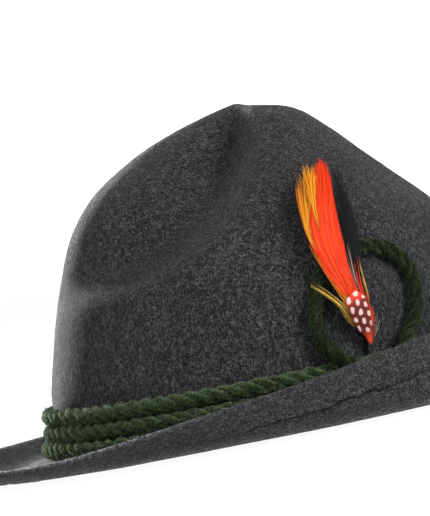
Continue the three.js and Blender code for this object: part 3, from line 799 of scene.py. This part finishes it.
class HAT_OT_cords(Operator):
    """Build the twisted cord band and its loop"""

    bl_idname = "hat.cords"
    bl_label = "Cord band and loop"

    def execute(self, context):
        form, looks = hat(), context.scene.hat_looks
        s = form.s
        rng = np.random.default_rng(23)
        # The loop's cord and hairs are made darker than the band's: painted shade.
        wool, loop_wool = cord_material("green wool cord"), cord_material("green wool loop", 0.35)
        fibres = fuzz_material("wool fibres", looks.cord_dark, (0.17, 0.27, 0.09), 0.7)
        loop_fibres = fuzz_material("loop fibres", looks.cord_dark, (0.07, 0.115, 0.04), 0.05)
        turns = circle(BAND_POINTS)
        for row in range(s.cord_rows):
            height = form.row_height(row)
            ring = bisect(lambda r: form.crown(r, turns)[:, 2] < height, 0 * turns, 0 * turns + 3)
            outs = form.off_crown(turns, ring) * np.array([1, 1, 0])
            level = (outs * outs).sum(-1, keepdims=True)
            centres = form.crown(ring, turns) + outs * (s.cord / 2 + s.gap) / level
            build_cord(f"band_cord_{row + 1}", form, centres, outs, [f"cord_row_{row + 1}"], row, rng,
                       fibres, wool)
        centres, outs = self.loop_line(form)
        build_cord("loop_cord", form, centres, outs, ["cord_loop"], 9, rng, loop_fibres, loop_wool)
        return {"FINISHED"}

    def loop_line(self, form):
        """Evenly spaced points along the loop's centre line, and their outward."""
        s = form.s
        angle = circle(130)
        dx = s.loop_width / 2 * power(np.cos(angle), 2 / s.loop_fullness)
        dz = s.loop_height / 2 * power(np.sin(angle), 2 / s.loop_fullness)
        z = form.row_height(s.cord_rows - 1) + s.loop_height / 2 + dz
        point, outs = form.on_crown(s.loop_centre * form.a + dx + s.loop_lean * dz, z)
        drop = z - form.row_height(s.cord_rows - 1)
        over = np.sqrt(np.maximum(0, (form.row_pitch + s.gap) ** 2 - drop ** 2))
        centres = point + outs * (s.cord / 2 + s.gap + over)[:, None]
        spacing = np.linalg.norm(np.roll(centres, -1, 0) - centres, axis=-1)
        at = np.concatenate([[0], np.cumsum(spacing)])
        wanted = np.linspace(0, at[-1], LOOP_POINTS, endpoint=False)

        def evenly(values):
            closed = np.vstack([values, values[:1]])
            return np.stack([np.interp(wanted, at, closed[:, k]) for k in range(3)], -1)

        return evenly(centres), evenly(outs)


VANE_ROWS = 48
VANE_SIDES = 26


class Plume:
    """The chart that the feathers are laid out on: up from the foot and across the feather."""

    def __init__(self, form):
        self.form = form
        s = form.s
        self.foot_x = s.plume_foot * form.a
        self.foot_z = form.band_top + 2 * s.gap

    def at(self, spine, up, across, stand):
        """Points at shares up and distances across a spine, and their outward."""
        s = self.form.s
        place = np.interp(up, spine[:, 0], np.arange(len(spine)))
        row, ahead = between(spine, place), between(spine, place + 0.05)
        slope = (ahead[..., 1] - row[..., 1]) / np.maximum(ahead[..., 0] - row[..., 0], 1e-4)
        size = np.hypot(1, slope)
        x = self.foot_x + row[..., 1] * s.plume_length + across / size
        z = self.foot_z + up * s.plume_length - across * slope / size
        point, outward = self.form.on_crown(x, z)
        climb = step(0.02, 0.38, (z - self.foot_z) / s.plume_length)
        return point + outward * (s.gap + climb * (s.cord + s.gap) + stand)[..., None], outward

    def half(self, spine, up):
        return np.interp(up, spine[:, 0], spine[:, 2]) * self.form.s.plume_width / 2

    def barbs(self, name, spine, stand, width, paint, slot, nodes, rng, count, clumps, sides=(-1.0, 1.0),
              root=(0.0, 0.5), ragged=0.06, inner=0.45, spread=0.12):
        """Barbs in clumps that leave the middle of a feather, run along it and end in a point."""
        low, high = spine[0, 0], spine[-1, 0]
        span = high - low
        of = rng.integers(0, clumps, count)
        side = rng.uniform(*sides, clumps)
        start = low + span * rng.uniform(*root, clumps)
        early = np.abs(side) ** 2.5 * rng.uniform(0, 0.55, clumps)
        end = high - span * (early + ragged * rng.exponential(0.6, clumps))
        end = np.maximum(end, start + 0.22 * span)
        clump_tone = rng.uniform(0, 1, clumps)
        start = np.maximum(low, start[of] + rng.normal(0, 0.03, count) * span)
        end = end[of] - np.abs(rng.normal(0, 0.025, count)) * span
        t = np.linspace(0, 1, BARB_STEPS)[None, :]
        up = mix(start[:, None], end[:, None], t)

        def spread_by(deviation):
            return rng.normal(0, deviation, (count, 1))

        apart = spread_by(spread) * (1 - 0.85 * t * t)
        wave = spread_by(0.18) * MM * np.sin(math.pi * t * rng.uniform(0.6, 1.6, (count, 1)))
        side = side[of][:, None]
        across = (side + apart) * self.half(spine, up) * mix(inner, 1.0, t ** 1.2) + wave
        dome = 0.8 * MM * (1 - np.clip(np.abs(side) * mix(inner, 1.0, t), 0, 1) ** 2)
        height = stand + dome + spread_by(0.2) * MM + spread_by(0.3) * MM * t * t
        points, outward = self.at(spine, up, across, np.maximum(height, stand * 0.5))
        along = unit(np.gradient(points, axis=1))
        faced = unit(np.cross(outward, along) + outward * rng.normal(0, 0.35, (count, 1, 1)))
        strip, faces = ribbons(points, faced, width * rng.uniform(0.6, 1.3, count), 0.5)
        tones = np.clip(0.55 * clump_tone[of] + 0.5 * rng.uniform(0, 1, count), 0, 1)
        new_piece(name, self.form.placed(strip), faces, paint, slot, nodes,
                  tone=np.repeat(tones, 2 * BARB_STEPS), along=np.tile(np.repeat(t.ravel(), 2), count))

    def vane(self, name, spine, stand, thickness, paint, slot, nodes, inset=0.9, reach=1.0):
        """A closed thin leaf that lies under the barbs of a feather, up to a share of its length."""
        high = mix(spine[0, 0], spine[-1, 0], reach)
        up = np.linspace(spine[0, 0], high, VANE_ROWS)[:, None]
        angle = circle(VANE_SIDES)[None, :]
        end = np.clip((high - up) / 0.06, 0, 1) ** 0.5
        half = self.half(spine, up) * inset * np.maximum(end, 0.05)
        across = half * np.cos(angle)
        dome = 0.5 * MM * (1 - np.cos(angle) ** 2) + thickness / 2 * np.sin(angle) * np.maximum(end, 0.1)
        up = up + 0 * angle
        points, _ = self.at(spine, up, across, stand + dome)
        ends = np.array([points[0].mean(0), points[-1].mean(0)])
        last = VANE_ROWS * VANE_SIDES
        faces = grid_faces(VANE_ROWS, VANE_SIDES) + cap_faces(VANE_SIDES, 0, last)
        faces += cap_faces(VANE_SIDES, last - VANE_SIDES, last + 1, flip=True)
        ups = np.append(up.ravel(), [up[0, 0], up[-1, 0]]) * self.form.s.plume_length
        plain = np.full(len(ups), 0.3)
        new_piece(name, self.form.placed(np.vstack([points.reshape(-1, 3), ends])), faces, paint, slot,
                  nodes, up=ups, across=np.append(across.ravel(), [0, 0]), tone=plain, along=plain)

    def quill(self, spine, paint, rows=14, sides=8):
        """The stem at the plume's foot."""
        up = np.linspace(-0.03, 0.3, rows)
        points, outward = self.at(spine, np.maximum(up, 0), 0 * up, np.full(rows, 0.6 * MM))
        points[:, 2] += np.minimum(up, 0) * self.form.s.plume_length * 0.3
        along = unit(np.gradient(points, axis=0))
        side = unit(np.cross(outward, along))
        angle = circle(sides)
        radius = 0.75 * MM * np.linspace(1.0, 0.5, rows)
        ring = outward[:, None] * np.cos(angle)[None, :, None] + side[:, None] * np.sin(angle)[None, :, None]
        tube = points[:, None] + ring * radius[:, None, None]
        count = rows * sides
        faces = grid_faces(rows, sides) + [tuple(range(sides)), tuple(reversed(range(count - sides, count)))]
        new_piece("quill", self.form.placed(tube), faces, paint, "feather_black",
                  tone=np.full(count, 0.4), along=np.full(count, 0.6))


class HAT_OT_plume(Operator):
    """Build the layered plume"""

    bl_idname = "hat.plume"
    bl_label = "Plume"

    def execute(self, context):
        looks = context.scene.hat_looks
        plume = Plume(hat())
        rng = np.random.default_rng(37)
        black = barb_material("black barbs", looks.black, (0.014, 0.013, 0.013), 0.7)
        amber = barb_material("amber barbs", looks.amber, (0.95, 0.48, 0.03))
        olive = barb_material("olive barbs", looks.olive, (0.85, 0.56, 0.12))
        orange = barb_material("orange barbs", looks.orange, looks.orange_light)
        spotted = spotted_material()
        white = barb_material("white barbs", (0.5, 0.3, 0.22), (0.8, 0.7, 0.62))
        # The layers from the crown outwards: name, feather, centre line, stand off the crown and width
        # in millimetres, material, barbs, clumps, and what else differs. A layer without barbs is a
        # vane, and its width is its thickness. The first layer of a feather stands for its node.
        layers = (
            ("black_vane", "black", BLACK_MAIN, 0.5, 0.5, black, 0, 0, dict(inset=0.55, reach=0.75)),
            ("black_barbs", "black", BLACK_MAIN, 1.0, 0.18, black, 1000, 60, dict(ragged=0.08)),
            ("black_back_barbs", "black", BLACK_BACK, 1.1, 0.13, black, 210, 40,
             dict(ragged=0.16, spread=0.3)),
            ("amber_barbs", "yellow", AMBER_EDGE, 2.4, 0.2, amber, 340, 52, dict(ragged=0.1, spread=0.08)),
            ("olive_wisp", "yellow", OLIVE_WISP, 3.0, 0.22, olive, 26, 9,
             dict(root=(0.0, 0.12), ragged=0.05, spread=0.3, inner=0.7)),
            ("olive_low", "yellow", OLIVE_LOW, 3.0, 0.16, olive, 7, 4,
             dict(root=(0.0, 0.1), ragged=0.1, spread=0.3)),
            ("orange_vane", "orange", ORANGE_MAIN, 3.0, 0.8, orange, 0, 0, dict(inset=0.72, reach=0.8)),
            ("orange_barbs", "orange", ORANGE_MAIN, 3.7, 0.24, orange, 2400, 90,
             dict(ragged=0.08, spread=0.07)),
            ("amber_over", "yellow", AMBER_OVER, 4.4, 0.18, amber, 80, 22,
             dict(root=(0.1, 0.6), ragged=0.08, inner=0.2, spread=0.1)),
            ("red_strands", "orange", RED_STRAND, 3.4, 0.2, orange, 12, 5, dict(root=(0.0, 0.3), ragged=0.2)),
            ("pale_strands", "orange", PALE_STRAND, 3.6, 0.1, white, 4, 4, dict(root=(0.0, 0.3), ragged=0.2)),
            ("olive_strands", "yellow", OLIVE_STRAND, 4.0, 0.2, olive, 8, 4,
             dict(root=(0.0, 0.2), ragged=0.2)),
            ("spotted_vane", "spotted", SPOTTED, 5.4, 0.6, spotted, 0, 0, dict(inset=0.95)),
            ("spotted_edge", "spotted", SPOTTED, 5.5, 0.16, orange, 18, 8,
             dict(sides=(0.75, 1.15), inner=0.9, spread=0.06, root=(0.2, 0.8), ragged=0.02)),
            ("spotted_left_edge", "spotted", SPOTTED, 5.3, 0.16, olive, 14, 7,
             dict(sides=(-1.15, -0.9), inner=0.9, spread=0.06, root=(0.2, 0.8), ragged=0.02)),
            ("pale_barbs", "spotted", PALE_EDGE, 5.4, 0.1, white, 5, 5,
             dict(root=(0.0, 0.3), ragged=0.2, inner=0.7)),
        )
        plume.quill(np.array(BLACK_MAIN), black)
        placed = set()
        for name, feather, spine, stand, width, paint, count, clumps, differs in layers:
            slot = f"feather_{feather}"
            nodes = () if slot in placed else (slot,)
            placed.add(slot)
            row = (name, np.array(spine), stand * MM, width * MM, paint, slot, nodes)
            if count:
                plume.barbs(*row, rng, count, clumps, **differs)
            else:
                plume.vane(*row, **differs)
        return {"FINISHED"}


class HAT_OT_stage(Operator):
    """Add the floor, the lights and the camera"""

    bl_idname = "hat.stage"
    bl_label = "Stage"

    def execute(self, context):
        self.floor()
        self.backdrop()
        self.lights(context.scene)
        self.camera(context.scene)
        return {"FINISHED"}

    def floor(self):
        """A pale floor that sweeps up into the backdrop all round."""
        flat, sweep, sides, up = 4.6, 2.0, 96, np.linspace(0.1, math.pi / 2, 14)
        rings = np.linspace(0.02, flat, 12)
        radius = np.concatenate([rings, flat + sweep * np.sin(up), [flat + sweep]])[:, None]
        height = np.concatenate([0 * rings, sweep * (1 - np.cos(up)), [3 * sweep]])[:, None]
        angle = circle(sides)
        points = np.stack([radius * np.cos(angle), radius * np.sin(angle), height + 0 * angle], -1)
        faces = [tuple(reversed(face)) for face in grid_faces(len(radius), sides)] + [tuple(range(sides))]
        s = Sockets("pale floor")
        apart = s.node("ShaderNodeSeparateXYZ", Vector=s.place())
        lit = 1 - Number(s, apart.outputs["Z"]).smooth(0.02, 0.5)
        glow = s.mix(lit, (0, 0, 0), (1, 1, 1))
        paint = s.surface(Base_Color=(0.12, 0.12, 0.12), Roughness=0.9, Specular_IOR_Level=0.0,
                          Emission_Color=glow, Emission_Strength=0.94)
        floor = new_mesh("floor", points, faces, paint)

    def backdrop(self):
        """A lit white panel behind the hat."""
        width, low, high, away = 1.7, -0.1, 2.1, 4.3
        corners = [(-width, away, low), (width, away, low), (width, away, high), (-width, away, high)]
        paint = Sockets("lit backdrop").surface(Base_Color=(0.9, 0.9, 0.9), Emission_Color=(1, 1, 1),
                                                Emission_Strength=1.0)
        panel = new_mesh("backdrop", np.array(corners), [(0, 1, 2, 3)], paint)

    def lights(self, scene):
        """Soft studio light: a broad key, a weak fill, and a rim and a top light from behind."""
        scene.world = bpy.data.worlds.new("studio")
        scene.world.use_nodes = True
        background = scene.world.node_tree.nodes["Background"]
        background.inputs["Color"].default_value = (1, 1, 1, 1)
        background.inputs["Strength"].default_value = 0.15
        scene.view_settings.view_transform = "Standard"
        aimed_at = Vector((0, 0, 0.07))
        # name, place, size, watts
        for name, place, size, watts in (
            ("key", (1.5, -1.4, 0.8), 0.8, 53),
            ("fill", (-0.6, -1.5, 1.3), 0.8, 19),
            ("rim", (-0.72, 1.02, 0.32), 0.28, 84),
            ("top", (0.0, 1.1, 1.3), 0.7, 38),
        ):
            data = bpy.data.lights.new(name, "AREA")
            data.energy, data.size = watts, size
            light = add(bpy.data.objects.new(name, data))
            light.location = place
            light.rotation_euler = (aimed_at - Vector(place)).to_track_quat("-Z", "Y").to_euler()

    def camera(self, scene):
        """The photograph's view: level with the hat, rolled, through a long lens."""
        elevation, roll, distance = math.radians(1.4), math.radians(11.4), 1.4
        pixels_per_metre, long_side = 2100, 516
        target = Vector((-0.0124 - hat().middle, 0, 0.0832))
        back = Vector((0, -math.cos(elevation), math.sin(elevation)))
        right = Vector((1, 0, 0))
        up = back.cross(right)
        turned_right = right * math.cos(roll) - up * math.sin(roll)
        turned_up = right * math.sin(roll) + up * math.cos(roll)
        data = bpy.data.cameras.new("camera")
        data.lens = data.sensor_width * pixels_per_metre * distance / long_side
        scene.camera = add(bpy.data.objects.new("camera", data))
        axes = Matrix((turned_right, turned_up, back)).transposed().to_4x4()
        scene.camera.matrix_world = Matrix.Translation(target + back * distance) @ axes


class HAT_PT_panel(Panel):
    """Sidebar panel that builds the hat"""

    bl_idname = "HAT_PT_panel"
    bl_label = "Tyrolean Hat"
    bl_space_type = "VIEW_3D"
    bl_region_type = "UI"
    bl_category = "Hat"

    def draw(self, context):
        for group in (context.scene.hat_sizes, context.scene.hat_looks):
            box = self.layout.box()
            for key in group.__annotations__:
                box.prop(group, key)
        for operator in OPERATORS:
            self.layout.operator(operator.bl_idname)


OPERATORS = (HAT_OT_felt, HAT_OT_fuzz, HAT_OT_cords, HAT_OT_plume, HAT_OT_stage)
CLASSES = (HatSizes, HatLooks, *OPERATORS, HAT_PT_panel)


def register():
    for cls in CLASSES:
        bpy.utils.register_class(cls)
    bpy.types.Scene.hat_sizes = PointerProperty(type=HatSizes)
    bpy.types.Scene.hat_looks = PointerProperty(type=HatLooks)


def unregister():
    del bpy.types.Scene.hat_looks
    del bpy.types.Scene.hat_sizes
    for cls in reversed(CLASSES):
        bpy.utils.unregister_class(cls)


def main():
    register()
    bpy.ops.hat.felt()
    bpy.ops.hat.fuzz()
    bpy.ops.hat.cords()
    bpy.ops.hat.plume()
    bpy.ops.hat.stage()
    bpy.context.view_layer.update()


if __name__ == "__main__":
    main()
